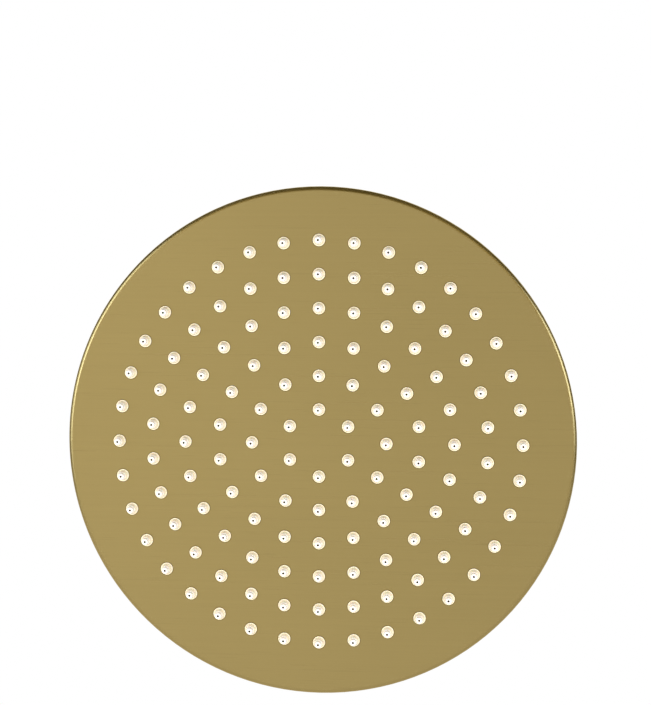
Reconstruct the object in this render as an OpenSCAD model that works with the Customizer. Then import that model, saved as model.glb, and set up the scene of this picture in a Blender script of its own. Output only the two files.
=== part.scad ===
// Round overhead shower head: a shallow brass disc with soft spray nozzles on its
// underside, hung from a ball joint that ends in a union nut with a pipe thread.
// Lengths are millimetres. +Z is up, the nozzles point down, and the origin is on the
// axis at the washer's top face, where the end of the supply arm comes to rest.

/* [Head disc] */
// Outer diameter of the head
head_d = 300; // [280:5:400]
// Height of the rim, from the face to the top plate
head_h = 11.5; // [11:0.5:20]
// Sheet thickness of the pressed face pan
pan_wall = 1.5; // [1.2:0.1:2]
// Sheet thickness of the top plate
back_wall = 1.5; // [1.2:0.1:2]
// Outside radius where the face turns up into the rim
rim_fillet = 3; // [2:0.1:4]
// Small bevel on the upper edge of the rim
rim_bevel = 0.4; // [0.2:0.1:0.8]
// Depth of the skirt that is turned down round the top plate
skirt_h = 3.5; // [2:0.5:5]

/* [Nozzles] */
// Radial distance from one nozzle ring to the next
ring_pitch = 19.8; // [17:0.1:21.5]
// Nozzles in the innermost ring, and the number that each ring further out adds
ring_step = 6; // [4:1:6]
// How far a nozzle tip stands below the face
nozzle_h = 6.5; // [5:0.25:9]
// Width of the lip that lies on the face, beyond the shank
lip_w = 1; // [0.9:0.05:1.6]
// Thickness of that lip
lip_h = 0.4; // [0.3:0.1:0.9]
// Step from the lip's edge in to the root of the nozzle
root_step = 0.35; // [0.1:0.05:0.8]
// Length of the cone that narrows from the root towards the stem
cone_h = 3.3; // [2.5:0.1:4]
// Diameter of the cone's narrow end
cone_end_d = 4.6; // [4.4:0.1:5.2]
// Height of the small step from the cone in to the stem
step_h = 0.25; // [0.2:0.05:0.5]
// Diameter of the slim stem
stem_d = 4.1; // [3.8:0.1:4.3]
// Diameter of the tip
tip_d = 3.5; // [3:0.1:3.7]
// Rounding of the tip's edge
tip_round = 0.3; // [0.2:0.05:0.5]
// Diameter of the outlet at the tip
outlet_d = 1; // [0.5:0.1:1.2]
// Length of the straight outlet
outlet_land = 0.6; // [0.4:0.1:1.6]
// Wall of the shank round the inner end of the water way
shank_wall = 0.8; // [0.6:0.05:1.1]
// Diameter of the plain shank in the plate
shank_d = 5.2; // [4.8:0.1:5.6]
// Reach of the barb beyond the shank
barb_reach = 0.9; // [0.6:0.05:1.2]
// Height of that barb
barb_h = 1.2; // [0.8:0.1:1.6]

/* [Stays] */
// Diameter of a stay between the two plates
stay_d = 5; // [4:0.5:6]
// Width of the foot at each end of a stay, beyond the stay
stay_foot_w = 1.5; // [1:0.25:2.5]
// Thickness of that foot
stay_foot_h = 0.8; // [0.6:0.1:1.2]
// Stays on the inner circle
inner_stays = 6; // [4:1:10]
// Stays on the outer circle
outer_stays = 12; // [8:1:18]

/* [Deflector] */
// Reach of the jet-spreading plate beyond the stub's flange
deflector_reach = 8; // [4:0.5:14]
// Sheet thickness of that plate
deflector_t = 1; // [0.8:0.1:1.2]
// Water gap between the stub flange and the deflector
deflector_gap = 2.8; // [2.5:0.1:3]
// Number of shouldered rivets
rivet_count = 4; // [3:1:6]
// Distance of a rivet's centre from the edge of the stub's flange
rivet_inset = 5; // [4:0.25:6]
// Diameter of the rivet shank
rivet_d = 3; // [2.5:0.1:3.5]
// Width of the rivet's shoulder, beyond the shank
rivet_shoulder_w = 1; // [0.8:0.1:1.3]
// Width of the rivet's head, beyond the shank
rivet_head_w = 1.3; // [1:0.1:1.8]
// Height of the rivet head
rivet_head_h = 0.8; // [0.6:0.1:1]
// Depth of the rivet shank in the flange
rivet_grip = 1.4; // [1:0.1:1.6]

/* [Union nut] */
// Major diameter of the inlet thread
thread_d = 20.96; // [20.6:0.01:21.4]
// Height of the thread form
thread_form_h = 1.16; // [1.1:0.01:1.2]
// Wall of the nut outside the thread
nut_wall = 3.02; // [2.8:0.01:4]
// Length of the cylindrical part of the nut
nut_h = 16.4; // [16:0.1:17]
// Width of the bevel between the cylinder and the foot of the nut
nut_bevel = 2.7; // [2:0.1:2.9]
// Height of that bevel
nut_bevel_h = 3.5; // [2.4:0.1:4]
// Depth from the mouth to the washer
thread_depth = 12.4; // [11:0.1:12.8]
// Undercut below the thread, on the radius, where the washer lies
thread_relief = 0.5; // [0.3:0.1:0.8]
// Lead-in bevel at the mouth
mouth_bevel = 0.9; // [0.5:0.1:1.4]
// Depth of the two spanner flats
flat_depth = 0.45; // [0.3:0.05:0.8]
// Height of the spanner flats above the bevel
flats_h = 4.3; // [3:0.1:6]

/* [Washer and filter] */
// Clearance with which washer and stem flange pass the thread
pass_gap = 0.1; // [0.05:0.01:0.2]
// Width of the inlet washer, from bore to edge
washer_w = 3; // [2.8:0.1:3.3]
// Thickness of the inlet washer
washer_t = 2; // [1.6:0.1:2.4]
// Depth to which the filter disc sits in the washer
filter_bite = 1; // [0.6:0.1:1.4]
// Thickness of the filter disc
filter_t = 0.5; // [0.3:0.1:0.7]
// Diameter of one hole in the filter
filter_hole_d = 1; // [0.8:0.05:1.1]
// Sheet left between two rows of filter holes
filter_bridge = 0.6; // [0.5:0.05:1]

/* [Swivel stem] */
// Thickness of the flange that hangs in the nut
flange_t = 1.8; // [1.4:0.1:2]
// Diameter of the water way through stem and ball
water_d = 11; // [10:0.1:11.4]
// Wall of the barrel that passes through the nut
barrel_wall = 2; // [1.8:0.1:2.3]
// Depth of the barrel in the ball, below the nut
barrel_grip = 9; // [8:0.25:10]
// Ledge that carries the flow regulator
pocket_ledge = 0.75; // [0.6:0.05:0.9]
// Depth of the regulator's pocket
pocket_h = 4.4; // [4:0.1:4.8]
// Thickness of the stem seal
stem_seal_t = 0.9; // [0.7:0.1:1]
// Height of the flow regulator
regulator_h = 4; // [3.6:0.1:4]
// Wall of the regulator's cup
regulator_wall = 1; // [0.8:0.1:1.2]
// Thickness of the web across the cup
regulator_web = 1.4; // [1:0.1:1.6]
// Radius of the domed hub in the cup
hub_r = 1.7; // [1.4:0.1:1.8]
// Number of slots round the hub
slot_count = 8; // [6:1:8]
// Diameter of one slot
slot_d = 1.2; // [0.8:0.1:1.3]
// Thickness of the soft ring inside the regulator
regulator_ring_t = 1.6; // [1.2:0.1:1.8]

/* [Ball joint] */
// Diameter of the ball
ball_d = 28; // [27.8:0.1:28.4]
// Cap that is cut off under the ball
ball_trim = 3; // [2.4:0.1:3.4]
// Wall of the neck round the stem
neck_wall = 3.05; // [2.6:0.05:3.1]
// Neck that shows between the nut and the collar
neck_show = 3.7; // [3.6:0.1:8]
// Height of the collar's top above the disc
collar_h = 23.8; // [21.8:0.1:26]
// Wall of the collar outside its thread
collar_wall = 2.6; // [2:0.1:3.6]
// Thickness of the collar's lip
collar_lip = 3.45; // [3.2:0.05:3.6]
// Height of the lip's lower face above the ball's centre
lip_rise = 5.05; // [4.9:0.05:5.3]
// Clearance between the ball and the edge of the lip
mouth_ease = 0.24; // [0.2:0.02:0.4]
// Flare of the lip's opening, on the radius, up to the collar's top
mouth_flare = 0.6; // [0.5:0.1:1]
// Gap under the collar, left for tightening it
collar_lift = 0.4; // [0.2:0.1:0.8]
// Wall of the friction ring at the ball's middle
ring_wall = 1.1; // [0.9:0.1:1.6]
// Width of the slit in the friction ring
slit_w = 1.2; // [0.8:0.1:2]
// Gap between the stub and the friction ring
ring_gap = 0.2; // [0.1:0.05:0.4]
// Clearance between the ball and the rim of the stub
stub_ease = 0.35; // [0.3:0.05:0.5]
// Wall of the stub round the ball seat
stub_wall = 2.2; // [1.8:0.1:2.4]
// Ledge at the foot of the seat's pocket
seat_ledge = 3.4; // [3:0.1:3.6]
// Width of the ball seat's foot
seat_foot_w = 3.15; // [2.8:0.05:3.3]
// Length of the opening under the ball seat
seat_land = 0.53; // [0.4:0.01:0.7]
// Thickness of the seal under the ball seat
seat_seal_t = 1.9; // [1.5:0.1:2]
// Clearance between that seal and the wall of its pocket
seal_ease = 0.25; // [0.15:0.05:0.4]
// Reach of the flange under the top plate, beyond the stub
stub_flange_w = 6.8; // [6:0.1:9]
// Thickness of that flange
stub_flange_t = 2; // [1.8:0.1:2.4]

/* [Fits] */
// Running clearance on the radius of turning and sliding pieces
slip = 0.05; // [0.02:0.01:0.08]
// Axial play of the nut between the stem flange and the ball
nut_play = 0.15; // [0.1:0.05:0.3]
// Small bevel on turned edges
edge = 0.4; // [0.2:0.1:0.6]

/* [Hidden] */

$fn = 96;
nozzle_fn = 32;
ring_count = 6;
// A cut reaches this far past the faces that it opens
past = 1;

// Radii of the inlet, from the thread inwards
thread_r = thread_d / 2;
nut_r = thread_r + nut_wall;
pass_r = thread_r - thread_form_h - pass_gap;
washer_bore_r = pass_r - washer_w;
filter_r = washer_bore_r + filter_bite;

// Radii of the stem, from the water way outwards
water_r = water_d / 2;
pocket_r = water_r + pocket_ledge;
barrel_r = water_r + barrel_wall;
neck_r = barrel_r + slip + neck_wall;
cup_r = pocket_r - slip - regulator_wall;

// Radii of the joint, from the ball outwards and back in to the seat
ball_r = ball_d / 2;
socket_r = ball_r + slip;
stub_r = socket_r + ring_wall + slip;
collar_bore_r = stub_r + slip;
collar_r = collar_bore_r + collar_wall;
mouth_r = sqrt(pow(ball_r, 2) - pow(lip_rise, 2)) + mouth_ease;
seat_pocket_r = stub_r - stub_wall;
stub_drop = sqrt(pow(ball_r, 2) - pow(seat_pocket_r - stub_ease, 2));
stub_bore_r = seat_pocket_r - seat_ledge;
seat_r = seat_pocket_r - slip;
seat_mouth_r = seat_r - seat_foot_w;
seat_drop = sqrt(pow(socket_r, 2) - pow(seat_mouth_r, 2)) + seat_land;
stub_flange_r = stub_r + stub_flange_w;
rivet_circle_r = stub_flange_r - rivet_inset;

// Radii of the head and of a nozzle
head_r = head_d / 2;
rivet_r = rivet_d / 2;
shank_r = shank_d / 2;
throat_r = shank_r - shank_wall;
lip_r = shank_r + lip_w;
root_r = lip_r - root_step;
barb_r = shank_r + barb_reach;

// Levels, from the washer's top face downwards
mouth_z = thread_depth;
shoulder_z = -washer_t - flange_t;
pocket_z = -washer_t - pocket_h;
nut_base_z = mouth_z - nut_h;
nut_foot_z = nut_base_z - nut_bevel_h;
neck_top_z = nut_foot_z - nut_play;
barrel_end_z = nut_foot_z - barrel_grip;
stem_seal_z = (barrel_end_z + pocket_z) / 2;
collar_top_z = nut_foot_z - neck_show;
lip_z = collar_top_z - collar_lip;
ball_z = lip_z - lip_rise;
top_z = collar_top_z - collar_h;
face_z = top_z - head_h;
floor_z = face_z + pan_wall;
ceiling_z = top_z - back_wall;
stub_top_z = ball_z - stub_drop;
ring_low_z = stub_top_z + ring_gap;
ring_top_z = lip_z - slip;
seat_low_z = ball_z - seat_drop;
seat_floor_z = seat_low_z - seat_seal_t - slip;
flange_low_z = ceiling_z - stub_flange_t;
deflector_top_z = flange_low_z - deflector_gap;
deflector_low_z = deflector_top_z - deflector_t;

brass = [0.66, 0.58, 0.37];
raw_brass = [0.74, 0.63, 0.35];
silicone = [0.95, 0.92, 0.84];
acetal = [0.90, 0.90, 0.87];
dark_rubber = [0.13, 0.13, 0.13];
steel = [0.70, 0.71, 0.72];

// Points along an arc about a centre, from one angle to another
function arc(centre, radius, from, to, steps) =
    [for (i = [0 : steps])
        let (angle = from + (to - from) * i / steps)
        centre + radius * [cos(angle), sin(angle)]];

// A round seal: a ring of circular section about the axis
module seal_ring(outer, thickness, level) {
    translate([0, 0, level])
        rotate_extrude()
            translate([outer - thickness / 2, 0])
                circle(d = thickness, $fn = 32);
}

// A turned tube between two levels
module tube(outer, inner, low, high) {
    translate([0, 0, low])
        difference() {
            cylinder(r = outer, h = high - low);
            translate([0, 0, -past])
                cylinder(r = inner, h = high - low + 2 * past);
        }
}

// Union nut: bored for the pipe thread, with a floor that hangs on the stem flange
module inlet_nut() {
    hole_r = barrel_r + slip;
    color(brass)
        difference() {
            rotate_extrude()
                polygon([
                    [hole_r, nut_foot_z],
                    [nut_r - nut_bevel, nut_foot_z],
                    [nut_r, nut_base_z],
                    [nut_r, mouth_z - edge],
                    [nut_r - edge, mouth_z],
                    [thread_r + mouth_bevel, mouth_z],
                    [thread_r, mouth_z - mouth_bevel],
                    [thread_r, 0],
                    [thread_r + thread_relief, 0],
                    [thread_r + thread_relief, shoulder_z],
                    [hole_r, shoulder_z]
                ]);
            for (turn = [0, 180])
                rotate(turn)
                    translate([-nut_r, nut_r - flat_depth, nut_foot_z - past])
                        cube([2 * nut_r, nut_r, nut_bevel_h + past + flats_h]);
        }
}

// Flat washer with a groove in its bore for the filter disc
module inlet_washer() {
    groove_z = -(washer_t + filter_t) / 2;
    color(dark_rubber)
        difference() {
            tube(pass_r, washer_bore_r, -washer_t, 0);
            translate([0, 0, groove_z - slip])
                cylinder(r = filter_r + slip, h = filter_t + 2 * slip);
        }
}

// Filter disc with a square field of small holes inside the washer's bore
module filter_screen() {
    pitch = filter_hole_d + filter_bridge;
    field_r = washer_bore_r - filter_hole_d;
    rows = floor(field_r / pitch);
    color(steel)
        translate([0, 0, -(washer_t + filter_t) / 2])
            difference() {
                cylinder(r = filter_r, h = filter_t);
                for (i = [-rows : rows], j = [-rows : rows])
                    if (norm([i, j]) * pitch < field_r)
                        translate([i * pitch, j * pitch, -past])
                            cylinder(d = filter_hole_d, h = filter_t + 2 * past, $fn = 16);
            }
}

// Stem: its flange hangs in the nut and its barrel is screwed into the ball
module ball_stem() {
    color(raw_brass)
        difference() {
            rotate_extrude()
                polygon([
                    [water_r, barrel_end_z],
                    [barrel_r - edge, barrel_end_z],
                    [barrel_r, barrel_end_z + edge],
                    [barrel_r, shoulder_z],
                    [pass_r, shoulder_z],
                    [pass_r, -washer_t],
                    [pocket_r, -washer_t],
                    [pocket_r, pocket_z],
                    [water_r, pocket_z]
                ]);
            tube(barrel_r + past, barrel_r - stem_seal_t, stem_seal_z - stem_seal_t / 2 - slip,
                stem_seal_z + stem_seal_t / 2 + slip);
        }
}

module stem_seal() {
    color(dark_rubber)
        seal_ring(barrel_r, stem_seal_t, stem_seal_z);
}

// Flow regulator: a cup with a ring of slots round a domed hub
module flow_regulator() {
    outer_r = pocket_r - slip;
    color(acetal)
        translate([0, 0, pocket_z])
            difference() {
                rotate_extrude()
                    polygon(concat(
                        [[0, 0], [outer_r, 0], [outer_r, regulator_h], [cup_r, regulator_h],
                            [cup_r, regulator_web]],
                        arc([0, regulator_web], hub_r, 0, 90, 8)
                    ));
                for (i = [0 : slot_count - 1])
                    rotate(i * 360 / slot_count)
                        translate([(cup_r + hub_r) / 2, 0, -past])
                            cylinder(d = slot_d, h = regulator_web + 2 * past, $fn = 16);
            }
}

// Soft ring that lies on the regulator's web and narrows the slots under pressure
module regulator_ring() {
    color(dark_rubber)
        seal_ring(cup_r, regulator_ring_t, pocket_z + regulator_web + regulator_ring_t / 2);
}

// Ball with a short neck: a socket for the stem above, and a flat with a flare below
module swivel_ball() {
    ball_low_z = ball_z - ball_r;
    flat_z = ball_low_z + ball_trim;
    flare = 3 * edge;
    color(brass)
        difference() {
            union() {
                translate([0, 0, ball_z])
                    sphere(r = ball_r);
                translate([0, 0, ball_z])
                    cylinder(r = neck_r, h = neck_top_z - edge - ball_z);
                translate([0, 0, neck_top_z - edge])
                    cylinder(r1 = neck_r, r2 = neck_r - edge, h = edge);
            }
            translate([0, 0, barrel_end_z])
                cylinder(r = barrel_r + slip, h = ball_z + ball_r - barrel_end_z + past);
            translate([0, 0, ball_low_z - past])
                cylinder(r = water_r, h = barrel_end_z - ball_low_z + 2 * past);
            translate([0, 0, ball_low_z - past])
                cylinder(r = ball_r, h = ball_trim + past);
            translate([0, 0, flat_z - edge])
                cylinder(r1 = water_r + flare, r2 = water_r, h = flare);
        }
}

// Friction ring round the ball's middle, slit so that it can be sprung over the ball
module friction_ring() {
    ring_r = stub_r - slip;
    ring_h = ring_top_z - ring_low_z;
    color(acetal)
        difference() {
            translate([0, 0, ring_low_z])
                cylinder(r = ring_r, h = ring_h);
            translate([0, 0, ball_z])
                sphere(r = socket_r);
            translate([0, -slit_w / 2, ring_low_z - past])
                cube([ring_r + past, slit_w, ring_h + 2 * past]);
        }
}

// Seat under the ball, with a spherical face and an opening for the water
module ball_seat() {
    color(acetal)
        difference() {
            translate([0, 0, seat_low_z])
                cylinder(r = seat_r, h = stub_top_z - seat_low_z);
            translate([0, 0, ball_z])
                sphere(r = socket_r);
            translate([0, 0, seat_low_z - past])
                cylinder(r = seat_mouth_r, h = past + seat_land);
        }
}

module seat_seal() {
    color(dark_rubber)
        seal_ring(seat_pocket_r - seal_ease, seat_seal_t, seat_low_z - seat_seal_t / 2);
}

// Collar: screwed on the stub, its lip holds the friction ring down round the ball
module collar_nut() {
    foot_z = top_z + collar_lift;
    color(brass)
        rotate_extrude()
            polygon([
                [collar_bore_r + edge, foot_z],
                [collar_r - edge, foot_z],
                [collar_r, foot_z + edge],
                [collar_r, collar_top_z - edge],
                [collar_r - edge, collar_top_z],
                [mouth_r + mouth_flare, collar_top_z],
                [mouth_r, lip_z],
                [collar_bore_r, lip_z],
                [collar_bore_r, foot_z + edge]
            ]);
}

// Stub: brazed through the top plate, threaded for the collar and bored for the seat
module inlet_stub() {
    color(raw_brass)
        difference() {
            rotate_extrude()
                polygon([
                    [stub_bore_r, flange_low_z],
                    [stub_flange_r, flange_low_z],
                    [stub_flange_r, ceiling_z],
                    [stub_r, ceiling_z],
                    [stub_r, stub_top_z - edge],
                    [stub_r - edge, stub_top_z],
                    [seat_pocket_r, stub_top_z],
                    [seat_pocket_r, seat_floor_z],
                    [stub_bore_r, seat_floor_z]
                ]);
            rivet_places()
                translate([0, 0, flange_low_z - past])
                    cylinder(r = rivet_r + slip, h = rivet_grip + slip + past);
        }
}

// Top plate with a skirt turned down inside the rim
module back_plate() {
    plate_r = head_r - pan_wall - slip;
    skirt_r = plate_r - back_wall;
    hole_r = stub_r + slip;
    color(brass)
        rotate_extrude()
            polygon(concat(
                [[hole_r, ceiling_z], [hole_r, top_z], [plate_r, top_z],
                    [plate_r, top_z - skirt_h], [skirt_r, top_z - skirt_h]],
                arc([skirt_r - back_wall, ceiling_z - back_wall], back_wall, 0, 90, 4)
            ));
}

// Face and rim pressed from one sheet, with a hole for each nozzle
module face_pan() {
    inner_fillet = rim_fillet - pan_wall;
    centre = [head_r - rim_fillet, face_z + rim_fillet];
    color(brass)
        difference() {
            rotate_extrude($fn = 180)
                polygon(concat(
                    [[0, floor_z], [0, face_z]],
                    arc(centre, rim_fillet, -90, 0, 8),
                    [[head_r, top_z - rim_bevel], [head_r - rim_bevel, top_z],
                        [head_r - pan_wall, top_z]],
                    arc(centre, inner_fillet, 0, -90, 4)
                ));
            for (ring = [1 : ring_count])
                nozzle_places(ring)
                    translate([0, 0, face_z - past])
                        cylinder(r = shank_r + slip, h = pan_wall + 2 * past, $fn = nozzle_fn);
        }
}

// Where the nozzles of one ring stand
module nozzle_places(ring) {
    count = ring_step * ring;
    for (i = [0 : count - 1])
        rotate(90 + i * 360 / count)
            translate([ring * ring_pitch, 0, 0])
                children();
}

// One nozzle: barb and shank above the face, then lip, cone, stem and rounded tip
module nozzle() {
    cone_end_z = -lip_h - cone_h;
    outlet_r = outlet_d / 2;
    rotate_extrude($fn = nozzle_fn)
        polygon(concat(
            [[throat_r, pan_wall + barb_h],
                [barb_r - barb_h / 2, pan_wall + barb_h],
                [barb_r, pan_wall + barb_h / 2],
                [barb_r, pan_wall],
                [shank_r, pan_wall],
                [shank_r, 0],
                [lip_r, 0],
                [lip_r, -lip_h],
                [root_r, -lip_h],
                [cone_end_d / 2, cone_end_z],
                [stem_d / 2, cone_end_z - step_h]],
            arc([tip_d / 2 - tip_round, tip_round - nozzle_h], tip_round, 0, -90, 3),
            [[outlet_r, -nozzle_h],
                [outlet_r, outlet_land - nozzle_h],
                [throat_r, 0]]
        ));
}

module nozzle_ring(ring) {
    color(silicone)
        nozzle_places(ring)
            translate([0, 0, face_z])
                nozzle();
}

// Turned stays that keep the two plates from bulging, midway between nozzle rings
module stay_pillars() {
    chamber_h = ceiling_z - floor_z;
    stay_r = stay_d / 2;
    foot_r = stay_r + stay_foot_w;
    rows = [[3.5 * ring_pitch, inner_stays], [5.5 * ring_pitch, outer_stays]];
    color(raw_brass)
        for (row = rows, i = [0 : row[1] - 1])
            rotate((i + 0.5) * 360 / row[1])
                translate([row[0], 0, floor_z])
                    rotate_extrude($fn = 32)
                        polygon([
                            [0, 0],
                            [foot_r, 0],
                            [foot_r, stay_foot_h],
                            [stay_r, 2 * stay_foot_h],
                            [stay_r, chamber_h - 2 * stay_foot_h],
                            [foot_r, chamber_h - stay_foot_h],
                            [foot_r, chamber_h],
                            [0, chamber_h]
                        ]);
}

// Where the deflector's rivets stand
module rivet_places() {
    for (i = [0 : rivet_count - 1])
        rotate((i + 0.5) * 360 / rivet_count)
            translate([rivet_circle_r, 0, 0])
                children();
}

// Round plate under the stub that throws the jet outwards
module deflector_plate() {
    color(steel)
        difference() {
            translate([0, 0, deflector_low_z])
                cylinder(r = stub_flange_r + deflector_reach, h = deflector_t);
            rivet_places()
                translate([0, 0, deflector_low_z - past])
                    cylinder(r = rivet_r + slip, h = deflector_t + 2 * past);
        }
}

// Shouldered rivets that hang the deflector from the stub's flange
module deflector_rivets() {
    shoulder_r = rivet_r + rivet_shoulder_w;
    rivet_head_r = rivet_r + rivet_head_w;
    shoulder_low = rivet_head_h + deflector_t;
    shoulder_high = shoulder_low + deflector_gap;
    color(raw_brass)
        rivet_places()
            translate([0, 0, deflector_low_z - rivet_head_h])
                rotate_extrude($fn = 32)
                    polygon([
                        [0, 0],
                        [rivet_head_r - edge, 0],
                        [rivet_head_r, edge],
                        [rivet_head_r, rivet_head_h],
                        [rivet_r, rivet_head_h],
                        [rivet_r, shoulder_low],
                        [shoulder_r, shoulder_low],
                        [shoulder_r, shoulder_high],
                        [rivet_r, shoulder_high],
                        [rivet_r, shoulder_high + rivet_grip],
                        [0, shoulder_high + rivet_grip]
                    ]);
}

inlet_nut();
inlet_washer();
filter_screen();
ball_stem();
stem_seal();
flow_regulator();
regulator_ring();
swivel_ball();
friction_ring();
ball_seat();
seat_seal();
collar_nut();
inlet_stub();
back_plate();
face_pan();
stay_pillars();
deflector_plate();
deflector_rivets();
nozzle_ring(1);  // nozzles_ring_1
nozzle_ring(2);  // nozzles_ring_2
nozzle_ring(3);  // nozzles_ring_3
nozzle_ring(4);  // nozzles_ring_4
nozzle_ring(5);  // nozzles_ring_5
nozzle_ring(6);  // nozzles_ring_6
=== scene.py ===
import math

import bpy
import numpy as np
from mathutils import Matrix


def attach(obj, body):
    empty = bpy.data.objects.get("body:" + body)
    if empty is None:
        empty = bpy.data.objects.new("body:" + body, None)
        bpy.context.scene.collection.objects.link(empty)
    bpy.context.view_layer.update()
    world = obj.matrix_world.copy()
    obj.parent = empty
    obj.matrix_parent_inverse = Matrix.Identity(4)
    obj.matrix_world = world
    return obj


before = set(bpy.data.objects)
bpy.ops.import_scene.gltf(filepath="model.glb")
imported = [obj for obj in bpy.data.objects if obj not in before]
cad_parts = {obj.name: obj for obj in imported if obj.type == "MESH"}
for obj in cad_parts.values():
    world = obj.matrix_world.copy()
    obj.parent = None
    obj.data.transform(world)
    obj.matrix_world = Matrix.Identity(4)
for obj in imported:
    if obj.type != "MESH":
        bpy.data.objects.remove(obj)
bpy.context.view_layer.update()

# Sizes in metres, in the frame of the part: z up, the supply arm seats at z 0, the nozzles point down.
MM = 0.001
FACE_Z = min(corner[2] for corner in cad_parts["face_pan"].bound_box)  # spray face
FILLET_H = 3.0 * MM          # height of the rim's rounding
NO_RIM = (1.0, 2.0)          # heights far above the part, for a piece that has no rim
THREAD_PITCH = 1.814 * MM    # 14 turns to the inch
THREAD_WALL_R = 10.48 * MM   # wall of the nut's bore
THREAD_CREST_R = 9.34 * MM   # how far the ridge stands in
THREAD_LOW, THREAD_HIGH = 0.9 * MM, 10.9 * MM
RING_PITCH = 19.8 * MM       # from one ring of nozzles to the next
RINGS, RING_STEP = 6, 6      # rings, and how many nozzles each ring adds
NOZZLE_H = 6.5 * MM          # from the face to a tip
LIP_R, LIP_H = 3.6 * MM, 0.4 * MM  # the lip that lies on the face
CONE_H = 3.1 * MM            # the cone between lip and stem
WATERWAY_R = 1.6 * MM        # anything nearer to a nozzle's axis, and above its tip, is inside it
OUTLET_R = 0.63 * MM         # the outlet at a tip, with its rounded edge, painted dark as shade

# Finishes. Colours are linear, and brass is a metal, so these are what it mirrors of white.
WHITE = (1.0, 1.0, 1.0, 1.0)
BRASS = (0.430, 0.322, 0.121, 1.0)       # the spray face
PALE_BRASS = (0.430, 0.357, 0.170, 1.0)  # rim, nuts and back, a little less yellow
RAW_BRASS = (0.62, 0.44, 0.17, 1.0)
STEEL = (0.55, 0.55, 0.54, 1.0)
# the cream is painted shade with a painted warm reflection of the brass, on each nozzle's cone and lip underside
IVORY, CREAM_PAINTED_SHADE, SHADED_IVORY = (0.93, 0.86, 0.77, 1.0), (0.92, 0.81, 0.60, 1.0), (0.80, 0.74, 0.62, 1.0)
# painted shade: the dark inside each nozzle's water way and outlet
HOLE_SHADE_PAINT = (0.012, 0.011, 0.010, 1.0)
RUBBER_LOW, RUBBER_HIGH = (0.016, 0.016, 0.017, 1.0), (0.042, 0.041, 0.040, 1.0)
ACETAL_LOW, ACETAL_HIGH = (0.78, 0.78, 0.75, 1.0), (0.86, 0.86, 0.83, 1.0)

# Studio.
FLOOR_Z, FLOOR_HALF = -1.45, 7.0
FLOOR_LOW, FLOOR_HIGH = (0.80, 0.80, 0.79, 1.0), (0.84, 0.84, 0.83, 1.0)
FLOOR_SHADE = (0.80, 0.80, 0.80, 1.0)    # the floor's right side, as the spray face mirrors it
AMBIENT = 0.66       # the world's strength for the light on the part; camera and metal see it at 1
WALLS_R = 1.35       # radius of the shell of walls

# What the brass mirrors of the walls. Directions are degrees: az from -Y towards +X, el above the horizon.
FRONT_WALL = (0.08, 0.066, 0.012)
FRONT_LOW, FRONT_HIGH = (0.96, 0.85, 0.58), (0.86, 0.79, 0.56)
BACK_WARMTH = (1.03, 0.96, 0.78)
OVERHEAD = (0.96, 0.92, 0.76)
EYE_LEVEL = dict(el=(-9, -2.5), el_soft=1.5)
LEFT_SIDE = dict(az=(-97, -53), az_soft=8)
CARDS = (  # laid over one another in this order
    # a pale band in front, the card over the left softbox, and a faint card high on the front right
    dict(az=(-44, 44), az_soft=8, el=(-6.5, -0.5), el_soft=1.5, glow=(0.78, 0.78, 0.78)),
    dict(LEFT_SIDE, el=(-36, -12), el_soft=3, glow=(1.3, 1.4, 1.65)),
    dict(az=(18, 66), az_soft=10, el=(9, 32), el_soft=5, glow=(0.34, 0.30, 0.18)),
    # a bright one at eye level on the left and on the right
    dict(EYE_LEVEL, az=(-99, -72), az_soft=5, glow=(1.8, 1.9, 2.05)),
    dict(EYE_LEVEL, az=(68, 94), az_soft=5, glow=(2.6, 2.7, 2.9)),
    # the softboxes, left and right
    dict(LEFT_SIDE, el=(-45, -30.5), el_soft=2, slope=0.15, pivot=-75, glow=(4.6, 5.4, 7.2)),
    dict(az=(62, 93), az_soft=6, el=(-39, -18), el_soft=2.5, slope=-0.3, pivot=75, glow=(3.8, 4.4, 6.0)),
)
LAMPS = (  # name, place, aim, side and watts
    ("lamp_above", (-1.3, -1.2, 1.6), (0, 0, 0), 1.4, 22.0),
    ("lamp_below", (0.05, 0.45, -1.30), (0.05, 0.45, 0), 0.9, 7.0),
    ("lamp_right", (0.50, 0.05, -0.42), (0, 0, -0.05), 0.35, 2.2),
    ("lamp_left", (-0.50, 0.00, -0.42), (0, 0, -0.05), 0.35, 2.2),
)


# ---------------------------------------------------------------- meshes

def new_mesh(name, points, faces):
    """A smooth object of that name from an array of points and an array of quads that index them."""
    mesh = bpy.data.meshes.new(name)
    mesh.from_pydata(points.reshape(-1, 3).tolist(), [], faces.tolist())
    mesh.polygons.foreach_set("use_smooth", np.ones(len(mesh.polygons), dtype=bool))
    mesh.update()
    return new_object(name, mesh)


def new_object(name, data):
    obj = bpy.data.objects.new(name, data)
    bpy.context.scene.collection.objects.link(obj)
    return obj


def aim_object(obj, right, up, back, place):
    """Puts a lamp or camera at place, looking against back."""
    obj.matrix_world = Matrix([[right[i], up[i], back[i], place[i]] for i in range(3)] + [[0, 0, 0, 1]])


def grid_faces(rows, columns, wrap_rows=False, wrap_columns=False):
    """Quads of a grid of points, rows by columns, each joined to the next one along both ways."""
    r = np.arange(rows if wrap_rows else rows - 1)
    c = np.arange(columns if wrap_columns else columns - 1)
    r, c = np.meshgrid(r, c, indexing="ij")
    r2, c2 = (r + 1) % rows, (c + 1) % columns
    return np.stack([r * columns + c, r2 * columns + c, r2 * columns + c2, r * columns + c2], -1).reshape(-1, 4)


def smooth_step(x, low, high):
    """0 up to low, 1 from high, and the cubic 3t^2 - 2t^3 between them."""
    t = np.clip((x - low) / (high - low), 0, 1)
    return t * t * (3 - 2 * t)


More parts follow.
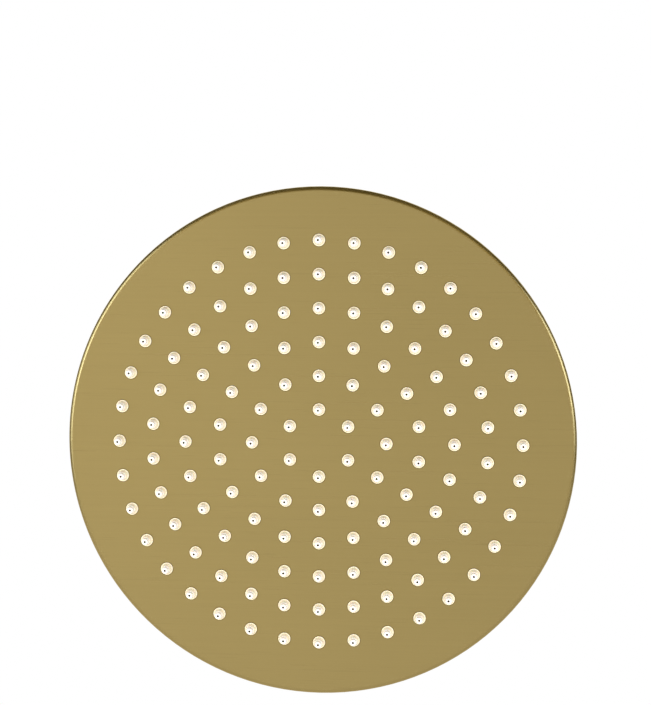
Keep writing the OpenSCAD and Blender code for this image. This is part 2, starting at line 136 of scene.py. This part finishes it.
def thread_ridge():
    """The nut's inner thread: a flat-topped V carried along a helix.
    At angle a the profile's point sits at radius wall - in * swell(a) and at height low + pitch * a / turn + up,
    where swell runs the ridge out to nothing over the last third of a turn at either end."""
    turns = (THREAD_HIGH - THREAD_LOW) / THREAD_PITCH
    steps = int(turns * 96)
    a = np.linspace(0, turns * math.tau, steps)[:, None]
    depth = THREAD_WALL_R - THREAD_CREST_R
    across = np.array([-0.78, -0.46, -0.17, -0.06, 0.06, 0.17, 0.46, 0.78])[None, :] * MM
    reach = np.array([-0.03, 0.45, 0.93, 1.0, 1.0, 0.93, 0.45, -0.03])[None, :] * depth
    run_out = math.tau / 3
    swell = smooth_step(a, 0, run_out) * (1 - smooth_step(a, a[-1] - run_out, a[-1]))
    r = THREAD_WALL_R - reach * np.where(reach > 0, swell, 1)
    z = THREAD_LOW + THREAD_PITCH * a / math.tau + across * (0.35 + 0.65 * swell)
    points = np.stack([r * np.cos(a), r * np.sin(a), z], -1)
    columns = across.shape[1]
    faces = grid_faces(steps, columns, wrap_columns=True)
    caps = np.array([[0, 1, 6, 7], [1, 2, 5, 6], [2, 3, 4, 5]])
    last = (steps - 1) * columns
    return new_mesh("thread_ridge", points, np.vstack([faces, caps, last + caps[:, ::-1]]))


# ---------------------------------------------------------------- finishes

class Term:
    """A value that varies over a surface. Sums on it add Math nodes to the material it belongs to."""

    def __init__(self, nodes, socket):
        self.nodes, self.socket = nodes, socket

    def __add__(self, other):
        return self.nodes.math("ADD", self, other)

    def __sub__(self, other):
        return self.nodes.math("SUBTRACT", self, other)

    def __rsub__(self, other):
        return self.nodes.math("SUBTRACT", other, self)

    def __mul__(self, other):
        return self.nodes.math("MULTIPLY", self, other)

    def __truediv__(self, other):
        return self.nodes.math("DIVIDE", self, other)

    def __rtruediv__(self, other):
        return self.nodes.math("DIVIDE", other, self)

    __radd__, __rmul__ = __add__, __mul__

    def root(self):
        return self.nodes.math("SQRT", self)

    def above(self, limit):
        """1 where the value is above limit, else 0."""
        return self.nodes.math("GREATER_THAN", self, limit)

    def between(self, low, high, at_low=0.0, at_high=1.0):
        """Runs smoothly from at_low at low to at_high at high."""
        return self.nodes.add(
            "ShaderNodeMapRange", {0: self, 1: low, 2: high, 3: at_low, 4: at_high},
            interpolation_type="SMOOTHSTEP", clamp=True)


class Nodes:
    """The nodes of a material or a world."""

    def __init__(self, owner):
        owner.use_nodes = True
        self.tree = owner.node_tree
        self.tree.nodes.clear()

    def add(self, kind, inputs, output=0, **settings):
        """Adds a node: first its settings, then its sockets, each a number, a colour or another node's value."""
        node = self.tree.nodes.new(kind)
        for key, value in settings.items():
            setattr(node, key, value)
        for key, value in inputs.items():
            if isinstance(value, Term):
                self.tree.links.new(value.socket, node.inputs[key])
            else:
                node.inputs[key].default_value = value
        return Term(self, node.outputs[output]) if node.outputs else None

    def math(self, operation, first, second=0.0):
        return self.add("ShaderNodeMath", {0: first, 1: second}, operation=operation)

    def blend(self, share, first, second):
        """The colour that goes from first to second as share goes from 0 to 1."""
        return self.add("ShaderNodeMix", {0: share, 6: first, 7: second}, output=2, data_type="RGBA")

    def rays(self):
        """1 on a ray from the camera, on one mirrored by a surface, and on one that went through glass."""
        kinds = ("Camera", "Glossy", "Transmission")
        return [self.add("ShaderNodeLightPath", {}, output=f"Is {kind} Ray") for kind in kinds]


class Finish(Nodes):
    """The nodes of one new material, and the place on the piece in metres."""

    def __init__(self, name):
        self.material = bpy.data.materials.new(name)
        super().__init__(self.material)
        place = self.add("ShaderNodeTexCoord", {}, output="Object")
        self.x, self.y, self.z = (self.add("ShaderNodeSeparateXYZ", {0: place}, output=axis) for axis in "XYZ")
        self.r = (self.x * self.x + self.y * self.y).root()

    def noise(self, x_scale, y_scale, z_scale, height=None, detail=2.0, rough=0.5):
        """Noise from 0 to 1 with that many waves a metre along X, Y and Z, or along height in place of Z."""
        height = self.z if height is None else height
        point = self.add("ShaderNodeCombineXYZ", {0: self.x * x_scale, 1: self.y * y_scale, 2: height * z_scale})
        return self.add("ShaderNodeTexNoise", {"Vector": point, "Scale": 1.0, "Detail": detail, "Roughness": rough})

    def from_nozzle(self):
        """Distance to the axis of the nearest nozzle: the nearest ring k, the nearest of that ring's RING_STEP * k
        even places round it from +Y, and the length of what is left."""
        ring = self.math("ROUND", self.r / RING_PITCH)
        ring = self.math("MINIMUM", self.math("MAXIMUM", ring, 1.0), RINGS)
        turn = self.math("ARCTAN2", self.x, self.y)
        gap = 1.0 / (ring * (RING_STEP / math.tau))
        off = turn - self.math("ROUND", turn / gap) * gap
        along = self.r * self.math("SINE", off)
        out = self.r * self.math("COSINE", off) - ring * RING_PITCH
        return (along * along + out * out).root()

    def bump(self, height, distance, strength):
        """A normal that follows height, whose 1 stands distance metres proud."""
        return self.add("ShaderNodeBump", {"Height": height, "Distance": distance, "Strength": strength})

    def surface(self, inputs):
        """Ends the material in a Principled shader with those sockets."""
        self.add("ShaderNodeOutputMaterial", {"Surface": self.add("ShaderNodeBsdfPrincipled", inputs)})
        return self.material


def shade(colour, factor):
    """A colour made that much lighter or darker."""
    return tuple(min(1.0, c * factor) for c in colour[:3]) + (1.0,)


def brushed_flat(name, colour, rough, rim_rough, rim_heights, paint_nozzle_shadows=False):
    """Brass brushed straight along X where the piece is flat, and round the axis on its rim.
    The grain is noise drawn out hundreds of times along the stroke; a mask between two heights tells flat from rim.
    Round each nozzle's lip lies a thin dark line: painted shadow on the face where the lip meets it."""
    f = Finish(name)
    on_rim = f.z.between(*rim_heights)
    stroke = f.noise(9, 3600, 9, detail=3.0, rough=0.62)
    rim_stroke = f.noise(9, 9, 5200, detail=3.0, rough=0.6)
    broad = f.noise(3, 520, 3)
    cloud = f.noise(11, 16, 11)
    grain = stroke * (1 - on_rim) + rim_stroke * on_rim
    tone = (grain - 0.5) * 0.55 + (broad - 0.5) * 0.22 * (1 - on_rim) + (cloud - 0.5) * 0.25 + 0.5
    base = f.blend(tone, shade(colour, 0.90), shade(colour, 1.10))
    base = f.blend(on_rim, base, f.blend(tone, shade(PALE_BRASS, 0.88), shade(PALE_BRASS, 1.12)))
    scratch = f.noise(45, 1300, 14, detail=0.0).between(0.74, 0.80)
    base = f.blend(scratch * 0.16, base, shade(colour, 0.72))
    if paint_nozzle_shadows:
        # painted shadow: a thin dark ring on the face round each nozzle's lip
        nozzle_shadow_ring = f.from_nozzle().between(LIP_R + 0.15 * MM, LIP_R + 0.75 * MM, 1.0, 0.0)
        base = f.blend(nozzle_shadow_ring * 0.6, base, shade(colour, 0.3))
    return f.surface({
        "Base Color": base,
        "Metallic": 1.0,
        "Roughness": (grain - 0.5) * 0.10 + (broad - 0.5) * 0.05 + rough + on_rim * (rim_rough - rough),
        "Normal": f.bump(grain, 0.010 * MM, 0.2),
    })


def brushed_round(name, colour, rough, grain_scale=5200):
    """Turned and brushed brass or steel: the grain runs round the axis, so it changes with height and radius only."""
    f = Finish(name)
    grain = f.noise(60, 60, grain_scale, height=f.z + f.r * 0.77, detail=3.0, rough=0.6)
    cloud = f.noise(90, 90, 130)
    tone = (grain - 0.5) * 0.5 + (cloud - 0.5) * 0.3 + 0.5
    return f.surface({
        "Base Color": f.blend(tone, shade(colour, 0.86), shade(colour, 1.14)),
        "Metallic": 1.0,
        "Roughness": (grain - 0.5) * 0.08 + rough,
        "Normal": f.bump(grain, 0.006 * MM, 0.15),
    })


def turned_bare(name, colour, rough):
    """Bare turned metal of the hidden and half-hidden pieces, with coarser tool marks round the axis."""
    return brushed_round(name, colour, rough, grain_scale=2600)


def ivory_silicone(name):
    """Soft moulded silicone: white tip, and a cream lip and warmer cone between them, the cream being painted shade and
    painted warm reflection of the brass; the water way is painted dark inside as shade.
    """
    f = Finish(name)
    near = f.from_nozzle()
    cone_foot = FACE_Z - LIP_H - CONE_H
    # painted shade and painted warm reflection of the brass: cream on the cone and the lip's underside
    painted_cone_shade = f.z.between(cone_foot - 0.5 * MM, cone_foot + 0.5 * MM) * (1 - f.z.above(FACE_Z - LIP_H * 0.98))
    cloud = f.noise(700, 700, 700)
    base = f.blend(painted_cone_shade, IVORY, CREAM_PAINTED_SHADE)
    base = f.blend((cloud - 0.4) * 0.25, base, SHADED_IVORY)
    # painted shade: the water way and the outlet are coloured dark, where shade falls inside the hole
    painted_waterway_shade = f.z.above(FACE_Z - NOZZLE_H + 0.3 * MM) * (1 - near.above(WATERWAY_R))
    painted_hole_shade = f.math("MAXIMUM", painted_waterway_shade, 1 - near.above(OUTLET_R))
    return f.surface({
        "Base Color": f.blend(painted_hole_shade, base, HOLE_SHADE_PAINT),
        "Roughness": cloud * 0.12 + 0.60,
        "Specular IOR Level": 0.25,
        "Subsurface Weight": 0.15,
        "Subsurface Radius": (0.8, 0.5, 0.3),
        "Subsurface Scale": 1.0 * MM,
        "Normal": f.bump(f.noise(5200, 5200, 5200, detail=1.0), 0.015 * MM, 0.25),
    })


def black_rubber(name):
    """Black moulded rubber, slightly dusty on its high places."""
    f = Finish(name)
    cloud = f.noise(900, 900, 900, detail=3.0)
    return f.surface({
        "Base Color": f.blend(cloud, RUBBER_LOW, RUBBER_HIGH),
        "Roughness": cloud * 0.2 + 0.55,
        "Normal": f.bump(f.noise(6000, 6000, 6000, detail=1.0), 0.020 * MM, 0.4),
    })


def acetal(name):
    """White moulded acetal, a little translucent, with faint flow marks."""
    f = Finish(name)
    flow = f.noise(400, 400, 1500, detail=3.0)
    return f.surface({
        "Base Color": f.blend(flow, ACETAL_LOW, ACETAL_HIGH),
        "Roughness": flow * 0.12 + 0.3,
        "Subsurface Weight": 0.08,
        "Subsurface Radius": (0.001, 0.001, 0.001),
        "Normal": f.bump(flow, 0.020 * MM, 0.2),
    })


# ---------------------------------------------------------------- studio

def studio_world():
    """White behind the part, also in its reflections, and a plain ambient level for everything else."""
    world = bpy.data.worlds.new("studio")
    bpy.context.scene.world = world
    nodes = Nodes(world)
    camera_ray, glossy_ray, through_ray = nodes.rays()
    seen = nodes.math("MAXIMUM", nodes.math("MAXIMUM", camera_ray, glossy_ray), through_ray)
    sky = nodes.add("ShaderNodeBackground", {"Color": WHITE, "Strength": seen * (1 - AMBIENT) + AMBIENT})
    nodes.add("ShaderNodeOutputWorld", {"Surface": sky})


def pale_floor():
    """A plain pale floor well under the part, out of the camera's sight. To the spray face it shows as a white glow,
    with painted shade towards its right side.
    """
    u = np.linspace(-FLOOR_HALF, FLOOR_HALF, 15)
    x, y = np.meshgrid(u, u, indexing="ij")
    obj = new_mesh("floor", np.stack([x, y, np.full_like(x, FLOOR_Z)], -1), grid_faces(15, 15))
    f = Finish("pale_floor")
    camera_ray, glossy_ray, through_ray = f.rays()
    lit = f.add("ShaderNodeBsdfDiffuse", {"Color": f.blend(f.noise(0.7, 0.7, 1.0), FLOOR_LOW, FLOOR_HIGH)})
    # painted shade: in the spray face's reflection the floor glows white, darkening to FLOOR_SHADE towards its right
    # side
    glow = f.add("ShaderNodeEmission", {
        "Color": f.blend(f.x.between(-0.62, 0.22) * glossy_ray, WHITE, FLOOR_SHADE), "Strength": 1.0})
    share = (camera_ray + through_ray) * f.r.between(1.0, 5.5, 0.75, 1.0) + glossy_ray
    f.add("ShaderNodeOutputMaterial", {"Surface": f.add("ShaderNodeMixShader", {0: share, 1: lit, 2: glow})})
    obj.data.materials.append(f.material)


def tint(level, colour):
    """A level for each direction, times a colour."""
    return level[..., None] * np.array(colour)


def between_edges(v, edges, soft):
    """1 between two edges, falling to 0 over soft degrees to either side of each."""
    low, high = edges
    return smooth_step(v, low - soft, low + soft) * (1 - smooth_step(v, high - soft, high + soft))


def studio_glow(az, el):
    """The colour of the walls by direction. The front is dark and warm, lighter towards floor and ceiling. The back
    is a plain mid tone from 88 to 122 degrees on, warmer above eye level. The cards are laid over both in turn, and
    a light ceiling over all. A card with a slope runs up by slope degrees of el for each degree of az past its pivot.
    """
    side = np.abs(az)
    downwards = np.clip((-el - 18) / 42, 0, 1)
    front = tint(np.ones_like(az), FRONT_WALL)
    front = front + tint(downwards * (0.26 + 0.52 * smooth_step(side, 5, 36)), FRONT_LOW)
    front = front + tint(smooth_step(el, 22, 44), FRONT_HIGH)
    back = 0.76 - 0.06 * np.sin(np.radians(az)) + 0.10 * smooth_step(el, 8, 30) + 0.08 * downwards
    back = tint(back, (1, 1, 1)) * (1 + tint(smooth_step(el, -10, 5), np.array(BACK_WARMTH) - 1))
    glow = front + (back - front) * smooth_step(side, 88, 122)[..., None]
    for card in CARDS:
        level = el - card.get("slope", 0) * (az - card.get("pivot", 0))
        mask = between_edges(az, card["az"], card["az_soft"]) * between_edges(level, card["el"], card["el_soft"])
        glow = glow + (np.array(card["glow"]) - glow) * mask[..., None]
    return glow + (np.array(OVERHEAD) - glow) * smooth_step(el, 60, 75)[..., None]


def studio_walls():
    """A shell of reflection cards round the studio, seen only in the metal: a sphere patch whose points lie at
    radius * (cos el sin az, -cos el cos az, sin el), with the glow of each direction kept as a colour of its points."""
    columns, rows = 240, 150
    az = np.linspace(-180, 180, columns + 1)[:-1]
    el = np.linspace(-62, 89.5, rows)
    az, el = np.meshgrid(az, el, indexing="ij")
    ca, ce = np.radians(az), np.radians(el)
    points = WALLS_R * np.stack([np.cos(ce) * np.sin(ca), -np.cos(ce) * np.cos(ca), np.sin(ce)], -1)
    obj = new_mesh("studio_walls", points, grid_faces(columns, rows, wrap_rows=True)[:, ::-1])
    colours = np.dstack([studio_glow(az, el), np.ones(az.shape)])
    layer = obj.data.color_attributes.new("glow", "FLOAT_COLOR", "POINT")
    layer.data.foreach_set("color", colours.ravel().astype(np.float32))
    material = bpy.data.materials.new("studio_walls")
    material.cycles.emission_sampling = "NONE"
    nodes = Nodes(material)
    glow = nodes.add("ShaderNodeAttribute", {}, output="Color", attribute_name="glow")
    nodes.add("ShaderNodeOutputMaterial", {"Surface": nodes.add("ShaderNodeEmission", {"Color": glow})})
    obj.data.materials.append(material)
    for ray in ("camera", "diffuse", "transmission", "volume_scatter", "shadow"):
        setattr(obj, "visible_" + ray, False)


def area_lamp(name, place, aim, size, power):
    """A square soft lamp of that side at place, turned to aim. The metal doesn't mirror it."""
    lamp = bpy.data.lights.new(name, "AREA")
    lamp.shape, lamp.size, lamp.energy = "SQUARE", size, power
    back = np.array(place) - np.array(aim)
    back = back / np.linalg.norm(back)
    side = np.cross((0, 0, 1) if abs(back[2]) < 0.99 else (0, 1, 0), back)
    side = side / np.linalg.norm(side)
    obj = new_object(name, lamp)
    aim_object(obj, side, np.cross(back, side), back, place)
    obj.visible_camera = obj.visible_glossy = False


def camera():
    """The photograph's camera: below the spray face, a little to the front and right of the axis, looking up."""
    data = bpy.data.cameras.new("camera")
    data.lens, data.sensor_width = 79.27, 36.0
    data.clip_start, data.clip_end = 0.05, 50.0
    data.shift_x, data.shift_y = 0.00014, -0.00071
    obj = new_object("camera", data)
    right, up, back = (0.99572, -0.00026, 0.09237), (-0.00696, -0.99736, 0.07231), (0.09211, -0.07264, -0.99310)
    aim_object(obj, right, up, back, (0.08725, -0.11941, FACE_Z - 0.900))
    bpy.context.scene.camera = obj


# ---------------------------------------------------------------- the part

bpy.context.scene.view_settings.view_transform = "Standard"
camera()
studio_world()
pale_floor()
studio_walls()
for lamp in LAMPS:
    area_lamp(*lamp)

FINISHES = {
    "face_brass": brushed_flat(
        "face_brushed_brass", BRASS, 0.30, 0.15, (FACE_Z + 0.1 * MM, FACE_Z + FILLET_H), paint_nozzle_shadows=True),
    "plate_brass": brushed_flat("plate_brushed_brass", PALE_BRASS, 0.42, 0.42, NO_RIM),
    "brushed_brass": brushed_round("nut_brushed_brass", PALE_BRASS, 0.30),
    "turned_brass": brushed_round("ball_turned_brass", PALE_BRASS, 0.22),
    "raw_brass": turned_bare("raw_brass_turned", RAW_BRASS, 0.34),
    "stainless": turned_bare("stainless_rolled", STEEL, 0.30),
    "black_rubber": black_rubber("rubber_moulded"),
    "acetal": acetal("acetal_moulded"),
    "silicone": ivory_silicone("silicone_ivory"),
}

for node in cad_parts.values():
    for holder in node.material_slots:
        holder.material = FINISHES[holder.material.name.split(".")[0]]

ridge = thread_ridge()
ridge.data.materials.append(FINISHES["raw_brass"])
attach(ridge, "inlet")
